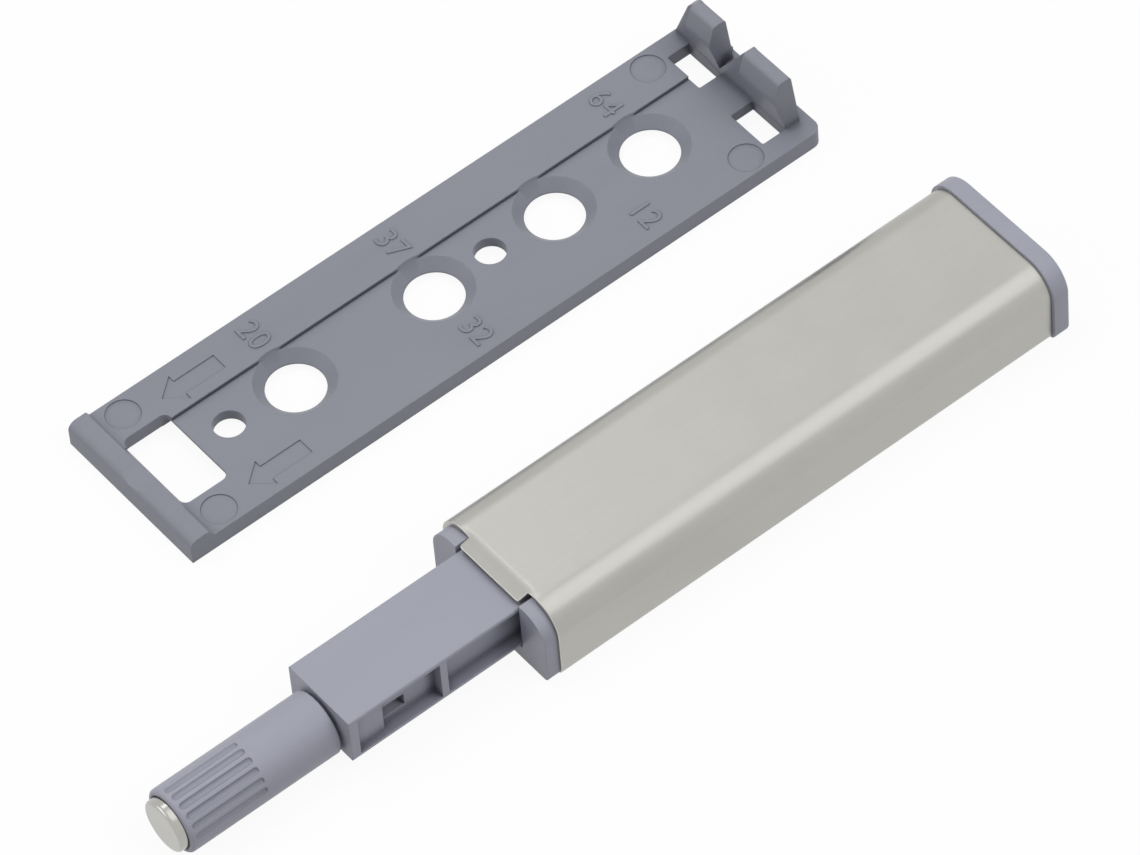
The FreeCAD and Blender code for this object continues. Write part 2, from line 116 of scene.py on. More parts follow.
class Workpiece:
    """One mesh that is shaped with Blender's own tools, in millimetres of the latch's frame."""

    def __init__(self, made: bpy.types.Object, name: str) -> None:
        """Takes over a fresh primitive.

        Args:
            made: The primitive.
            name: The piece's name.
        """
        self.obj = made
        self.obj.name = name
        self.obj.data.name = name
        self.settle()

    @staticmethod
    def clear() -> None:
        """Deselects every object."""
        bpy.ops.object.select_all(action="DESELECT")

    @staticmethod
    def face_outwards() -> None:
        """Turns all faces outwards in edit mode."""
        bpy.ops.mesh.select_all(action="SELECT")
        bpy.ops.mesh.normals_make_consistent(inside=False)

    @classmethod
    def block(cls, name: str, low: Sequence[float], high: Sequence[float]) -> "Workpiece":
        """A block between two corners.

        Args:
            name: The piece's name.
            low: Its lowest corner.
            high: Its highest corner.

        Returns:
            The block, ready to be shaped.
        """
        cls.clear()
        middle = [(a + b) / 2 * MM for a, b in zip(low, high)]
        bpy.ops.mesh.primitive_cube_add(size=1.0, location=middle)
        made = bpy.context.active_object
        made.scale = [(b - a) * MM for a, b in zip(low, high)]
        return cls(made, name)

    @classmethod
    def turned(cls, name: str, axis: Axis, centre: Sequence[float],
               stations: Outline, sides: int = 48) -> "Workpiece":
        """A round body along an axis, drawn out of a disc from station to station.

        Args:
            name: The piece's name.
            axis: The direction of its axis.
            centre: A point of the axis; its value along the axis is not used.
            stations: Places along the axis with the radius at each.
            sides: Number of corners of the disc.

        Returns:
            The closed body.
        """
        cls.clear()
        start, radius = stations[0]
        place = Vector(centre) * MM
        place[axis.value] = start * MM
        bpy.ops.mesh.primitive_circle_add(vertices=sides, radius=radius * MM, fill_type="NGON",
                                          location=place, rotation=axis.turn)
        piece = cls(bpy.context.active_object, name)
        across = [axis.value != i for i in range(3)]
        with piece.editing():
            bpy.ops.mesh.select_all(action="SELECT")
            for (before, old), (after, new) in zip(stations, stations[1:]):
                move = axis.along * (after - before) * MM
                bpy.ops.mesh.extrude_region_move(TRANSFORM_OT_translate={"value": move})
                if new != old:
                    place[axis.value] = after * MM
                    bpy.ops.transform.resize(value=[new / old if a else 1.0 for a in across],
                                             center_override=place)
            cls.face_outwards()
        return piece

    @classmethod
    def profile(cls, name: str, axis: Axis, corners: Outline, start: float,
                end: float) -> "Workpiece":
        """A bar whose outline goes through corners given in the plane across its axis.

        Args:
            name: The piece's name.
            axis: The bar's direction.
            corners: The outline's corners, as the two other coordinates in rising order.
            start: Where the bar begins along its axis.
            end: Where it ends.

        Returns:
            The closed bar.
        """
        cls.clear()
        bpy.ops.mesh.primitive_circle_add(vertices=len(corners), radius=MM, fill_type="NGON")
        piece = cls(bpy.context.active_object, name)
        others = [i for i in range(3) if i != axis.value]
        with piece.editing():
            bpy.ops.mesh.select_mode(type="VERT")
            for index, corner in enumerate(corners):
                goal = axis.along * start
                for where, value in zip(others, corner):
                    goal[where] = value
                bpy.ops.mesh.select_all(action="DESELECT")
                net = bmesh.from_edit_mesh(piece.obj.data)
                net.verts.ensure_lookup_table()
                point = net.verts[index]
                move = goal * MM - point.co
                point.select_set(True)
                bmesh.update_edit_mesh(piece.obj.data)
                bpy.ops.transform.translate(value=move)
            bpy.ops.mesh.select_mode(type="FACE")
            bpy.ops.mesh.select_all(action="SELECT")
            bpy.ops.mesh.extrude_region_move(
                TRANSFORM_OT_translate={"value": axis.along * (end - start) * MM})
            cls.face_outwards()
        return piece

    @classmethod
    def lettering(cls, name: str, words: str, height: float, raise_by: float,
                  place: Sequence[float], turn: float) -> "Workpiece":
        """Plain raised figures, turned flat on a face that looks up.

        Args:
            name: The piece's name.
            words: The figures.
            height: Their size.
            raise_by: How far their faces stand above the place.
            place: The middle of the figures.
            turn: Their turn about Z in degrees.

        Returns:
            The figures as a mesh that starts a little below the place.
        """
        cls.clear()
        bpy.ops.object.text_add(location=Vector(place) * MM, rotation=(0, 0, math.radians(turn)))
        made = bpy.context.active_object
        made.data.body = words
        made.data.size = height * MM
        made.data.align_x = "CENTER"
        made.data.align_y = "CENTER"
        made.data.extrude = raise_by * MM * 0.9
        made.data.bevel_depth = raise_by * MM * 0.1
        made.data.offset = -0.02 * MM
        made.data.resolution_u = 4
        made.data.space_character = 1.05
        bpy.ops.object.convert(target="MESH")
        return cls(bpy.context.active_object, name)

    def activate(self) -> None:
        """Makes this the only selected object and the active one."""
        self.clear()
        self.obj.select_set(True)
        bpy.context.view_layer.objects.active = self.obj

    def settle(self) -> None:
        """Writes the object's place, turn and scale into its mesh."""
        self.activate()
        bpy.ops.object.transform_apply(location=True, rotation=True, scale=True)

    @contextmanager
    def editing(self) -> Iterator[None]:
        """Edit mode with nothing selected, for a with block."""
        self.activate()
        bpy.ops.object.mode_set(mode="EDIT")
        bpy.ops.mesh.select_all(action="DESELECT")
        try:
            yield
        finally:
            bpy.ops.object.mode_set(mode="OBJECT")

    def pick(self, part: Part, test: Test) -> int:
        """Selects parts in edit mode by their place.

        Args:
            part: Points, edges or faces.
            test: Says whether the part is wanted. It takes the place twice for a point, both ends
                for an edge, and the middle and the normal for a face.

        Returns:
            How many parts are selected.
        """
        bpy.ops.mesh.select_mode(type=part.value)
        bpy.ops.mesh.select_all(action="DESELECT")
        net = bmesh.from_edit_mesh(self.obj.data)
        if part is Part.POINT:
            chosen = [p for p in net.verts if test(p.co / MM, p.co / MM)]
        elif part is Part.EDGE:
            chosen = [e for e in net.edges if test(e.verts[0].co / MM, e.verts[1].co / MM)]
        else:
            chosen = [f for f in net.faces if test(f.calc_center_median() / MM, f.normal)]
        for each in chosen:
            each.select_set(True)
        bmesh.update_edit_mesh(self.obj.data)
        return len(chosen)

    def round_edges(self, size: float, steps: int, test: Test) -> None:
        """Rounds the edges whose two ends pass the test.

        Args:
            size: The rounding's radius.
            steps: Facets across it.
            test: Takes an edge's two ends.
        """
        with self.editing():
            if self.pick(Part.EDGE, test):
                bpy.ops.mesh.bevel(offset=size * MM, segments=steps, affect="EDGES",
                                   clamp_overlap=True)

    def slice(self, at: float, across: Axis, test: Test) -> None:
        """Cuts new edges along a plane.

        Args:
            at: The plane's place.
            across: The plane's normal.
            test: Takes the middle and normal of a face that may be cut.
        """
        with self.editing():
            self.pick(Part.FACE, test)
            bpy.ops.mesh.bisect(plane_co=across.along * at * MM, plane_no=across.along)

    def drop_faces(self, test: Test) -> None:
        """Deletes faces.

        Args:
            test: Takes a face's middle and normal.
        """
        with self.editing():
            if self.pick(Part.FACE, test):
                bpy.ops.mesh.delete(type="FACE")

    def modify(self, kind: str, **settings: object) -> None:
        """Adds a modifier and applies it.

        Args:
            kind: The modifier's type.
            settings: Its settings.
        """
        self.activate()
        added = self.obj.modifiers.new(kind.title(), kind)
        for key, value in settings.items():
            setattr(added, key, value)
        bpy.ops.object.modifier_apply(modifier=added.name)

    def _combine(self, operation: str, others: Sequence["Workpiece"]) -> None:
        """Combines shapes with this one, one after another, and removes them.

        Args:
            operation: How they are combined.
            others: The shapes.
        """
        for other in others:
            self.modify("BOOLEAN", operation=operation, solver="EXACT", object=other.obj)
            bpy.data.objects.remove(other.obj)
            self.merge()

    def carve(self, *cutters: "Workpiece") -> None:
        """Cuts the shapes out of this one."""
        self._combine("DIFFERENCE", cutters)

    def weld(self, *others: "Workpiece") -> None:
        """Unites the shapes with this one."""
        self._combine("UNION", others)

    def join(self, *others: "Workpiece") -> None:
        """Takes other meshes in as loose parts of this one.

        Args:
            others: The shapes that bring them.
        """
        self.activate()
        for other in others:
            other.obj.select_set(True)
        bpy.ops.object.join()

    def move(self, by: Sequence[float]) -> None:
        """Moves the mesh and leaves the object at the origin."""
        self.obj.location = Vector(by) * MM
        self.settle()

    def repeat(self, places: Sequence[Sequence[float]]) -> list["Workpiece"]:
        """Copies a shape that was made at the first of some places to the others.

        Args:
            places: The places.

        Returns:
            This shape and its copies, each with its own mesh.
        """
        shapes = [self]
        for place in places[1:]:
            self.activate()
            bpy.ops.object.duplicate()
            copy = Workpiece(bpy.context.active_object, self.obj.name)
            copy.move(Vector(place) - Vector(places[0]))
            shapes.append(copy)
        return shapes

    def merge(self) -> None:
        """Merges points that lie within a micrometre and drops faces without area."""
        with self.editing():
            bpy.ops.mesh.select_all(action="SELECT")
            bpy.ops.mesh.remove_doubles(threshold=0.001 * MM)
            bpy.ops.mesh.dissolve_degenerate(threshold=0.001 * MM)

    def smooth(self, angle: float) -> None:
        """Merges doubles, turns faces outwards and shades smooth.

        Args:
            angle: The edge angle in degrees up to which it is smooth.
        """
        self.merge()
        with self.editing():
            self.face_outwards()
        self.activate()
        bpy.ops.object.shade_smooth_by_angle(angle=math.radians(angle))

    def finish(self, finish: Material, slot: str, body: Body, *nodes: str) -> None:
        """Dresses the piece, sets it on its body and lets it stand for CAD nodes.

        Args:
            finish: The piece's material.
            slot: The record's material slot; not used.
            body: The body that it rides on.
            nodes: The CAD nodes that it stands for.
        """
        self.obj.data.materials.clear()
        self.obj.data.materials.append(finish)
        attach(self.obj, body.value)
        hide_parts(*nodes)
        log.info("%s: %d faces on %s", self.obj.name, len(self.obj.data.polygons), body.value)


class Nodes:
    """Short hand for building one node tree."""

    def __init__(self, tree: Tree) -> None:
        """Keeps the tree that nodes are added to."""
        self.tree = tree

    def add(self, kind: str, **settings: object) -> Node:
        """Adds a node.

        Args:
            kind: Its type, without the first word of all such types.
            settings: Its own settings, which aren't inputs.

        Returns:
            The node.
        """
        made = self.tree.nodes.new("ShaderNode" + kind)
        for key, value in settings.items():
            setattr(made, key, value)
        return made

    def feed(self, node: Node, **inputs: object) -> Node:
        """Sets or links inputs of a node.

        Args:
            node: The node.
            inputs: Input names, with _ for a blank, to a plain value or an output socket. A name
                such as i0 means the input of that number.

        Returns:
            The same node.
        """
        for key, value in inputs.items():
            number = key[1:]
            name = int(number) if key[0] == "i" and number.isdigit() else key.replace("_", " ")
            socket = node.inputs[name]
            if isinstance(value, Socket):
                self.tree.links.new(value, socket)
            else:
                socket.default_value = value
        return node

    def effect(self, group: Tree, **values: float) -> Node:
        """Places a shared effect with its own values."""
        return self.feed(self.add("Group", node_tree=group), **values)

    def math(self, way: str, first: object, second: object) -> Socket:
        """One step of arithmetic on values."""
        return self.feed(self.add("Math", operation=way), i0=first, i1=second).outputs[0]

    def weigh(self, first: object, share: float, second: object) -> Socket:
        """A share of one value, and the rest from another."""
        return self.math("ADD", self.math("MULTIPLY", first, share),
                         self.math("MULTIPLY", second, 1 - share))

    def noise(self, at: Socket, scale: object, detail: float, rough: float) -> Socket:
        """Cloudy values about 0.5."""
        return self.feed(self.add("TexNoise"), Vector=at, Scale=scale, Detail=detail,
                         Roughness=rough).outputs[0]

    def remap(self, value: Socket, low: float, high: float, to_low: float, to_high: float) -> Socket:
        """Maps a range of values to another, with clamping."""
        return self.feed(self.add("MapRange"), Value=value, From_Min=low, From_Max=high,
                         To_Min=to_low, To_Max=to_high).outputs[0]

    def blend(self, share: object, first: object, second: object) -> Socket:
        """Mixes two colours."""
        return self.feed(self.add("Mix", data_type="RGBA"), i0=share, i6=first, i7=second).outputs[2]

    def seen(self) -> Socket:
        """Tells what is seen from what only gives light.

        Returns:
            1 where the camera, a mirror or glass looks, and 0 for light on the object.
        """
        path = self.add("LightPath").outputs
        return self.math("MAXIMUM", path["Is Camera Ray"],
                         self.math("MAXIMUM", path["Is Glossy Ray"], path["Is Transmission Ray"]))


class Effects:
    """The shared effects, each a node group that is built once."""

    def __init__(self) -> None:
        """Builds the groups."""
        # Edge mask for the painted edge highlight with rub wear, and softened edge normals.
        self.edge_highlight_and_wear = self._edge_highlight_and_wear()
        self.grain = self._moulded_grain()
        self.rolled = self._rolled_sheet()
        # Occlusion mask for the shade painted into hollows.
        self.painted_hollow_shade = self._painted_hollow_shade()

    @staticmethod
    def _group(name: str, inputs: dict[str, float],
               outputs: Sequence[str]) -> tuple[Nodes, Node, Node]:
        """Starts a node group.

        Args:
            name: Its name.
            inputs: Value inputs with their usual values.
            outputs: Output names, of which Normal is a vector and the others are values.

        Returns:
            The group's short hand, and its input and output nodes.
        """
        tree = bpy.data.node_groups.new(name, "ShaderNodeTree")
        for key, value in inputs.items():
            made = tree.interface.new_socket(key, in_out="INPUT", socket_type="NodeSocketFloat")
            made.default_value = value
        for key in outputs:
            kind = "NodeSocketVector" if key == "Normal" else "NodeSocketFloat"
            tree.interface.new_socket(key, in_out="OUTPUT", socket_type=kind)
        return Nodes(tree), tree.nodes.new("NodeGroupInput"), tree.nodes.new("NodeGroupOutput")

    def _edge_highlight_and_wear(self) -> Tree:
        """A mask that is 1 along outer and inner edges, broken up, for the painted edge highlight
        and rub wear, and the softened normal.

        Returns:
            The group with inputs Radius and Breakup and outputs Mask and Normal.
        """
        build, given, result = self._group(
            "edge_highlight_and_wear_group", {"Radius": 0.0002, "Breakup": 900.0}, ("Mask", "Normal"))
        soft = build.feed(build.add("Bevel", samples=6), Radius=given.outputs["Radius"]).outputs[0]
        dot = build.feed(build.add("VectorMath", operation="DOT_PRODUCT"), i0=soft,
                         i1=build.add("NewGeometry").outputs["Normal"])
        edge = build.remap(dot.outputs["Value"], 0.995, 0.86, 0.0, 1.0)
        at = build.add("TexCoord").outputs["Object"]
        cloud = build.noise(at, given.outputs["Breakup"], 4.0, 0.6)
        broken = build.remap(cloud, 0.32, 0.62, 0.35, 1.0)
        build.feed(result, Mask=build.math("MULTIPLY", edge, broken), Normal=soft)
        return build.tree

    def _painted_hollow_shade(self) -> Tree:
        """A mask that is 1 in narrow corners and holes, for the shade painted there.

        Returns:
            The group with input Reach and output Mask.
        """
        build, given, result = self._group("painted_hollow_shade", {"Reach": 0.001}, ("Mask",))
        # The piece's own ambient occlusion marks where shade is painted.
        hollow = build.feed(build.add("AmbientOcclusion", samples=6, only_local=True),
                            Distance=given.outputs["Reach"])
        build.feed(result, Mask=build.remap(hollow.outputs["AO"], 0.92, 0.42, 0.0, 1.0))
        return build.tree

    def _moulded_grain(self) -> Tree:
        """Height, tint and gloss of spark-eroded moulded plastic with faint flow marks.

        Returns:
            The group with inputs Fine and Flow and outputs Height, Tint and Gloss.
        """
        build, given, result = self._group("moulded_grain", {"Fine": 5200.0, "Flow": 110.0},
                                           ("Height", "Tint", "Gloss"))
        at = build.add("TexCoord").outputs["Object"]
        fine = build.noise(at, given.outputs["Fine"], 2.0, 0.55)
        pits = build.feed(build.add("TexVoronoi", feature="SMOOTH_F1"), Vector=at,
                          Scale=given.outputs["Fine"])
        stretch = build.feed(build.add("Mapping"), Vector=at, Scale=(0.35, 1.0, 1.0))
        flow = build.feed(build.add("TexNoise"), Vector=stretch.outputs[0],
                          Scale=given.outputs["Flow"], Detail=4.0, Roughness=0.55,
                          Distortion=0.6).outputs[0]
        build.feed(result, Height=build.weigh(fine, 0.7, pits.outputs["Distance"]),
                   Tint=build.weigh(flow, 0.75, fine), Gloss=flow)
        return build.tree

    def _rolled_sheet(self) -> Tree:
        """Height, tint and gloss of rolled sheet: lines along X, clouds and small pits.

        Returns:
            The group with input Lines and outputs Height, Tint and Gloss.
        """
        build, given, result = self._group("rolled_sheet", {"Lines": 2600.0},
                                           ("Height", "Tint", "Gloss"))
        at = build.add("TexCoord").outputs["Object"]
        drawn = build.feed(build.add("Mapping"), Vector=at, Scale=(0.03, 1.0, 1.0))
        lines = build.noise(drawn.outputs[0], given.outputs["Lines"], 3.0, 0.6)
        cloud = build.noise(at, 160.0, 5.0, 0.6)
        skin = build.noise(at, 2400.0, 3.0, 0.6)
        build.feed(result, Height=build.weigh(lines, 0.6, skin),
                   Tint=build.weigh(cloud, 0.7, lines), Gloss=build.weigh(cloud, 0.55, skin))
        return build.tree


def linear(colour: Triple) -> tuple[float, float, float, float]:
    """Turns a colour into the renderer's own linear one.

    Args:
        colour: Red, green and blue from 0 to 255.

    Returns:
        Linear red, green and blue, and full cover.
    """
    parts = [c / 255 for c in colour]
    line = [p / 12.92 if p <= 0.04045 else ((p + 0.055) / 1.055) ** 2.4 for p in parts]
    return (line[0], line[1], line[2], 1.0)


@dataclass(frozen=True, kw_only=True)
class Finish(ABC):
    """A surface with two body tones, edges lightened as painted highlight and rub wear, a pattern
    and fine relief.
    """

    name: str
    colour: Triple
    shade: Triple
    # Lighter edge tone: a painted edge highlight together with rub wear.
    edge_highlight_and_wear_colour: Triple
    edge_highlight_and_wear_share: float
    roughness: float
    spread: Pair
    edge: float
    relief: float

    def build(self, effects: Effects) -> Material:
        """Makes the material.

        Args:
            effects: The shared node groups.

        Returns:
            The finished material.
        """
        made = bpy.data.materials.new(self.name)
        made.use_nodes = True
        build = Nodes(made.node_tree)
        edge_highlight_and_wear = build.effect(effects.edge_highlight_and_wear, Radius=self.edge)
        pattern, inputs = self.surface(build, effects, edge_highlight_and_wear.outputs["Mask"])
        bump = build.feed(build.add("Bump"), Strength=1.0, Distance=self.relief,
                          Height=pattern.outputs["Height"], Normal=edge_highlight_and_wear.outputs["Normal"])
        build.feed(made.node_tree.nodes["Principled BSDF"], Normal=bump.outputs[0], **inputs)
        return made

    @abstractmethod
    def surface(self, build: Nodes, effects: Effects,
                mask: Socket) -> tuple[Node, dict[str, object]]:
        """Adds the pattern and works out what the surface shader is fed.

        Args:
            build: The material's nodes.
            effects: The shared node groups.
            mask: 1 at edges.

        Returns:
            The pattern's node and the shader's inputs.
        """

    def tone(self, build: Nodes, pattern: Node, mask: Socket) -> Socket:
        """The body's clouded colour, which turns to a lighter tone at edges: a painted highlight
        with rub wear.

        Args:
            build: The material's nodes.
            pattern: The pattern's node.
            mask: 1 at edges.

        Returns:
            The colour.
        """
        body = build.blend(build.remap(pattern.outputs["Tint"], *CLOUDS, 0.0, 1.0),
                           linear(self.shade), linear(self.colour))
        # Edges lighten: a painted highlight together with rub wear.
        return build.blend(build.math("MULTIPLY", mask, self.edge_highlight_and_wear_share), body, linear(self.edge_highlight_and_wear_colour))

    def gloss(self, build: Nodes, pattern: Node) -> Socket:
        """The clouded roughness."""
        return build.remap(pattern.outputs["Gloss"], *CLOUDS, self.roughness - self.spread[0],
                           self.roughness + self.spread[1])


@dataclass(frozen=True, kw_only=True)
class Plastic(Finish):
    """Moulded plastic with fine grain, flow marks, edges lightened as painted highlight and scuffs,
    and shade painted into inner corners.
    """

    # Dark tone of the shade painted into hollows and narrow corners; reach is how far the occlusion
    # looks.
    painted_shade_colour: Triple
    reach: float
    painted_shade: float = 0.85
    polish: float = 0.08
    edge_highlight_and_wear_share: float = 0.45
    roughness: float = 0.48
    spread: Pair = (0.05, 0.06)
    edge: float = 0.00014
    relief: float = 0.000012

    def surface(self, build: Nodes, effects: Effects,
                mask: Socket) -> tuple[Node, dict[str, object]]:
        """Lays the grain, paints shade into hollows and polishes the edges.

        Args:
            build: The material's nodes.
            effects: The shared node groups.
            mask: 1 at edges.

        Returns:
            The grain's node and the shader's inputs.
        """
        grain = build.effect(effects.grain)
        painted_hollow_shade = build.effect(effects.painted_hollow_shade, Reach=self.reach)
        # Painted shade: the colour darkens in hollows and corners.
        painted_shade = build.math("MULTIPLY", painted_hollow_shade.outputs["Mask"], self.painted_shade)
        colour = build.blend(painted_shade, self.tone(build, grain, mask), linear(self.painted_shade_colour))
        rough = build.math("SUBTRACT", self.gloss(build, grain),
                           build.math("MULTIPLY", mask, self.polish))
        return grain, {"Base_Color": colour, "Roughness": rough, "IOR": 1.46,
                       "Specular_IOR_Level": 0.5}


@dataclass(frozen=True, kw_only=True)
class Steel(Finish):
    """Bare or plated metal with rolling lines, clouded gloss and cut edges lightened as painted
    highlight and wear.
    """

    edge_highlight_and_wear_share: float = 0.8
    roughness: float = 0.34
    spread: Pair = (0.06, 0.06)
    edge: float = 0.0001
    relief: float = 0.000004
    lines: float = 2600.0

    def surface(self, build: Nodes, effects: Effects,
                mask: Socket) -> tuple[Node, dict[str, object]]:
        """Lays the rolling lines.

        Args:
            build: The material's nodes.
            effects: The shared node groups.
            mask: 1 at edges.

        Returns:
            The sheet's node and the shader's inputs.
        """
        sheet = build.effect(effects.rolled, Lines=self.lines)
        return sheet, {"Base_Color": self.tone(build, sheet, mask),
                       "Roughness": self.gloss(build, sheet), "Metallic": 1.0}


@dataclass
class MountingPlate:
    """Screw-on plate: lip, openings, countersunk holes, raised strip, hooks and moulded marks.

    Places are in the plate's own frame: X from its front edge, Y across, Z up from its underside.
    Each flank is a slope of places across with heights above the face, each pin mark has its place
    and the rise and width of its floor as shares of depth and radius, and each figure its place.
    """

    origin: Triple = (-48.3, 34.6, 0.0)
    length: float = 78.0
    half: float = 9.65
    thick: float = 2.0
    corner: float = 1.2
    skin: float = 1.25
    rim: float = 1.4
    strip_from: float = 4.05
    strip_raise: float = 0.35
    groove: Pair = (0.06, 0.2)  # width, depth
    lip_depth: float = 2.8
    lip_height: float = 0.95
    lip_round: float = 1.0
    lip_slope: float = 0.6
    lap: float = 0.3
    scoop: float = 5.0
    scoop_depth: float = 0.42
    window: Triple = (5.4, 4.95, 0.8)  # length, half width, corner
    window_edge: float = 0.3
    relief_length: float = 1.6
    relief_floor: float = 0.3
    screws: tuple[float, ...] = (20.0, 37.0, 52.0, 64.0)
    screw: float = 3.03
    head: float = 4.15
    notch: float = 4.3
    pilots: tuple[float, ...] = (12.0, 44.0)
    pilot: float = 1.65
    slot: Triple = (2.8, 4.9, 0.2)  # length, width, corner
    slot_middle: float = 4.85
    hook_front: float = 75.1
    hook_foot: float = 1.9
    hook_height: float = 7.0
    ridge: Pair = (-0.38, 1.07)  # its two edges, from the hook's front
    ridge_round: float = 0.4
    ridge_cut: float = 0.24
    nose: float = 1.15
    nose_heights: Pair = (4.6, 0.5)  # point, root
    nose_round: float = 0.5
    left_hook: float = 2.6
    left_flank: Outline = ((6.2, 7.0), (7.1, 6.1), (9.65, 0.0))
    right_hook: float = -7.3
    right_flank: Outline = ((-1.9, 7.0), (2.65, 0.55))
    sill_sides: Pair = (-2.3, 2.8)
    sill_depth: float = 1.2
    sill_height: float = 0.86
    sill_round: float = 0.2
    mark_depth: float = 0.1
    arrows: tuple[float, ...] = (-7.0, 6.5)
    arrow: tuple[float, ...] = (8.9, 11.1, 15.9, 1.8, 1.0)  # tip, neck, tail, half widths
    pin: float = 1.8
    pins: tuple[tuple[float, ...], ...] = ((5.0, -7.5, 0.25, 0.2), (5.0, 7.5, 0.6, 0.75),
                                           (70.0, -7.5, 0.6, 0.75), (70.0, 7.5, 0.6, 0.75))
    figures: tuple[tuple[str, float, float], ...] = (
        ("20", 20.2, 6.8), ("37", 37.2, 6.8), ("64", 63.9, 6.8), ("32", 36.7, -6.9),
        ("12", 58.0, -6.5))
    figure_size: float = 3.4
    figure_rise: float = 0.11
    figure_turn: float = -90.0

    @property
    def above(self) -> float:
        """Height that the openings' cutters end at, above all but the lip and the hooks."""
        return self.thick + 2 * self.strip_raise

    def _face(self, y: float) -> float:
        """Height of the plate's face at a place across it."""
        return self.thick + (self.strip_raise if y > self.strip_from else 0)

    def build(self, finish: Material) -> None:
        """Models the plate and dresses it.

        Args:
            finish: Its material.
        """
        plate = self._base()
        plate.weld(self._hook(self.left_hook, self.left_flank),
                   self._hook(self.right_hook, self.right_flank), self._sill())
        plate.carve(self._underside(), self._window(), *self._grooves(), *self._slots(),
                    *self._holes(), self._relief())
        plate.carve(*self._arrows(), *self._pins())
        plate.join(*self._figures())
        plate.move(self.origin)
        plate.smooth(30)
        plate.finish(finish, "plate_plastic", Body.HOUSING, "mounting_plate")

    def _base(self) -> Workpiece:
        """The slab with its rounded rear corners, raised strip and front lip.

        Returns:
            The base.
        """
        top = self.thick + self.lip_height
        base = Workpiece.block("plate", (0, -self.half, 0), (self.length, self.half, top))
        base.round_edges(self.lip_round, 8, lambda a, b: min(a.z, b.z) > top - HAIR
                         and max(a.x, b.x) < HAIR)
        base.round_edges(self.corner, 6, lambda a, b: min(a.x, b.x) > self.length - HAIR
                         and abs(a.z - b.z) > self.thick / 2)
        past, roof = self.length + PAST, top + PAST
        slant = self.lip_slope / self.lip_height
        for low, high in ((-self.half - PAST, self.strip_from),
                          (self.strip_from - self.lap, self.half + PAST)):
            floor = self._face(high)
            start = self.lip_depth - slant * (floor - self.thick)
            outline = ((start, floor), (past, floor), (past, roof),
                       (start - slant * (roof - floor), roof))
            base.carve(Workpiece.profile("field", Axis.Y, outline, low, high))
        base.carve(Workpiece.turned(
            "scoop", Axis.X, (0, 0, top + self.scoop - self.scoop_depth),
            ((-PAST, self.scoop), (self.lip_depth + PAST, self.scoop)), 96))
        return base

    def _underside(self) -> Workpiece:
        """The room under the plate, inside the rim that it stands on.

        Returns:
            A cutter for it.
        """
        inside = self.half - self.rim
        return Workpiece.block("underside", (self.rim, -inside, -PAST),
                               (self.length - self.rim, inside, self.thick - self.skin))

    def _window(self) -> Workpiece:
        """A cutter for the front window with its rounded corners.

        Returns:
            The cutter.
        """
        wide, half, corner = self.window
        window = Workpiece.block("window", (self.lip_depth, -half, -PAST),
                                 (self.lip_depth + wide, half, self.above))
        window.round_edges(corner, 6, is_upright)
        return window

    def _relief(self) -> Workpiece:
        """A cutter that slopes the underside up to the window's rear edge.

        Returns:
            The cutter.
        """
        wide, half, _ = self.window
        behind, deep = self.lip_depth + wide, self.thick - self.skin
        edge, low = self.thick - self.window_edge, self.relief_floor
        reach = self.relief_length * (edge - low) / (edge - deep)
        start, side = behind - 0.5, half - 0.05
        outline = ((start, low), (behind + reach, low), (behind, edge), (start, edge))
        return Workpiece.profile("relief", Axis.Y, outline, -side, side)

    def _grooves(self) -> list[Workpiece]:
        """Cutters for the fine groove at the strip's foot, which stops at the screws' notches.

        Returns:
            The cutters.
        """
        wide, deep = self.groove
        stop = math.sqrt(self.notch ** 2 - self.strip_from ** 2) - 0.1
        starts = [self.lip_depth + self.lap] + [x + stop for x in self.screws]
        ends = [x - stop for x in self.screws] + [self.hook_front - 0.5]
        return [Workpiece.block("groove", (start, self.strip_from - wide, self.thick - deep),
                                (end, self.strip_from + HAIR, self.above))
                for start, end in zip(starts, ends)]

    def _slots(self) -> list[Workpiece]:
        """Cutters for the slots in front of the hooks, round at their front corners.

        Returns:
            The cutters.
        """
        long, across, corner = self.slot
        middle, top = -self.slot_middle, self.thick + self.strip_raise + 0.1
        slot = Workpiece.block("slot", (self.hook_front - long, middle - across / 2, -PAST),
                               (self.hook_front, middle + across / 2, top))
        slot.round_edges(corner, 3, lambda a, b: is_upright(a, b) and a.x < self.hook_front - 0.5)
        return slot.repeat([(0, middle, 0), (0, -middle, 0)])

    def _holes(self) -> list[Workpiece]:
        """Cutters for the countersunk screw holes, with their notches, and the plain holes.

        Returns:
            The cutters.
        """
        sink = self.thick - (self.head - self.screw)
        screws = [(x, 0, 0) for x in self.screws]
        screw = Workpiece.turned("screw", Axis.Z, screws[0], (
            (-PAST, self.screw), (sink, self.screw), (self.thick, self.head),
            (self.thick + self.strip_raise, self.notch), (self.above, self.notch)), 64)
        pilots = [(x, 0, 0) for x in self.pilots]
        pilot = Workpiece.turned("pilot", Axis.Z, pilots[0], (
            (-PAST, self.pilot), (self.above, self.pilot)))
        return screw.repeat(screws) + pilot.repeat(pilots)

